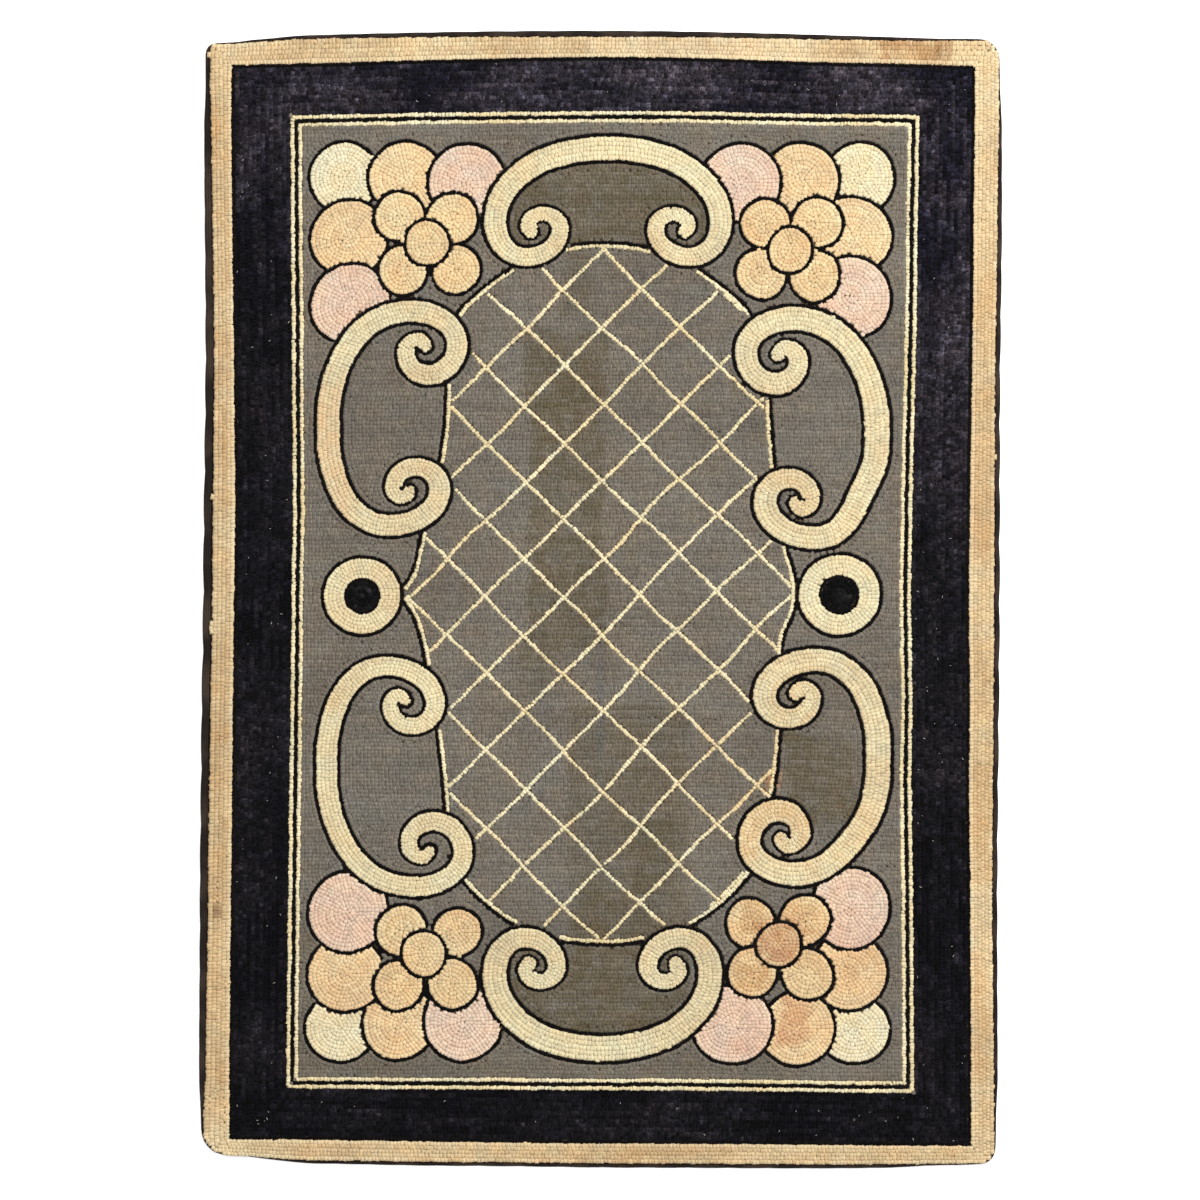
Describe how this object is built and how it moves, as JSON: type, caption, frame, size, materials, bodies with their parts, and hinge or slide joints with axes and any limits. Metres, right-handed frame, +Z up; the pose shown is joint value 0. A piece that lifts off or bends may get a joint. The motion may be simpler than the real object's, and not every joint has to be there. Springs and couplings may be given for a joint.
{
  "type": "hooked rug",
  "caption": "Flat rectangular hooked rug: looped cloth pile on a backing cloth, with a dark tape bound round its edge and turned under.",
  "frame": {"origin": "on the ground under the middle of the rug", "axes": "+Y along the rug's long side, +X along its short side, +Z up through its thickness"},
  "size_m": [1.081, 1.527, 0.008],
  "materials": {
    "loop_cloth": "soft matt hooked loops",
    "tape_cloth": "smooth matt woven cotton tape"
  },
  "bodies": {
    "root": {"rug": "loop_cloth", "binding": "tape_cloth"}
  },
  "joints": []
}
